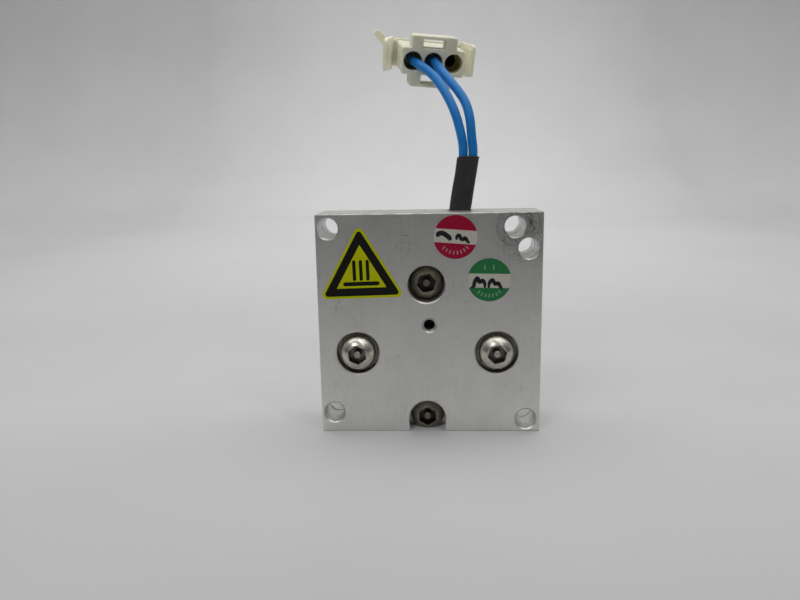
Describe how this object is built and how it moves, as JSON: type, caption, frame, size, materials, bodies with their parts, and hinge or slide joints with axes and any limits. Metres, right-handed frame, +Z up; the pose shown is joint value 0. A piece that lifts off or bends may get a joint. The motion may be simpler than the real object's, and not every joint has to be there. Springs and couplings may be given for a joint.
{
  "type": "dry block heater",
  "caption": "Square aluminium heater block: clamped plates round a foil heater, plain mounting holes, a recessed screw in an open notch and a short lead with a keyed plug.",
  "frame": {"origin": "middle of the bottom face that the block stands on", "axes": "+Z up, -Y out of the front face with the screw heads, +X to the right seen from the front"},
  "size_m": [0.065, 0.0576, 0.1224],
  "materials": {
    "plate_aluminium": "milled, lightly brushed, with fine scuffs",
    "heater_film": "amber insulating film",
    "heater_foil": "etched resistance foil",
    "pad_rubber": "soft thermally conductive pad",
    "splice_metal": "tinned crimp barrel",
    "wire_blue": "smooth extruded insulation",
    "sleeve_black": "shrunk tubing, satin",
    "connector_nylon": "natural moulded nylon, slightly translucent",
    "contact_metal": "tin-plated",
    "screw_steel": "turned stainless steel",
    "washer_steel": "plated steel",
    "label_yellow": "printed film with a black border",
    "label_red": "printed film with a white band",
    "label_green": "printed film with a white band"
  },
  "bodies": {
    "root": {"front_plate": "plate_aluminium", "rear_plate": "plate_aluminium", "heater_base_sheet": "heater_film", "heater_track": "heater_foil", "heater_cover_sheet": "heater_film", "thermal_pad": "pad_rubber", "splice_barrels": "splice_metal", "lead_wire_left": "wire_blue", "lead_wire_right": "wire_blue", "lead_sleeve": "sleeve_black", "connector_housing": "connector_nylon", "crimp_contacts": "contact_metal", "recessed_clamp_screws": "screw_steel", "side_clamp_screws": "screw_steel", "side_flat_washers": "washer_steel", "side_spring_washers": "washer_steel", "hot_surface_label": "label_yellow", "round_label_red": "label_red", "round_label_green": "label_green"},
    "latch_left": {"connector_latch_left": "connector_nylon"},
    "latch_right": {"connector_latch_right": "connector_nylon"}
  },
  "joints": [
    {"name": "latch_left_squeeze", "type": "hinge", "parent": "root", "child": "latch_left", "pos_m": [-0.0121, 0.03332, 0.11487], "axis": [0.1102, -0.2451, 0.9632], "range_deg": [0, 12], "stiffness_Nm_per_rad": 0.05},
    {"name": "latch_right_squeeze", "type": "hinge", "parent": "root", "child": "latch_right", "pos_m": [0.01075, 0.03698, 0.11319], "axis": [-0.1102, 0.2451, -0.9632], "range_deg": [0, 12], "stiffness_Nm_per_rad": 0.05}
  ]
}
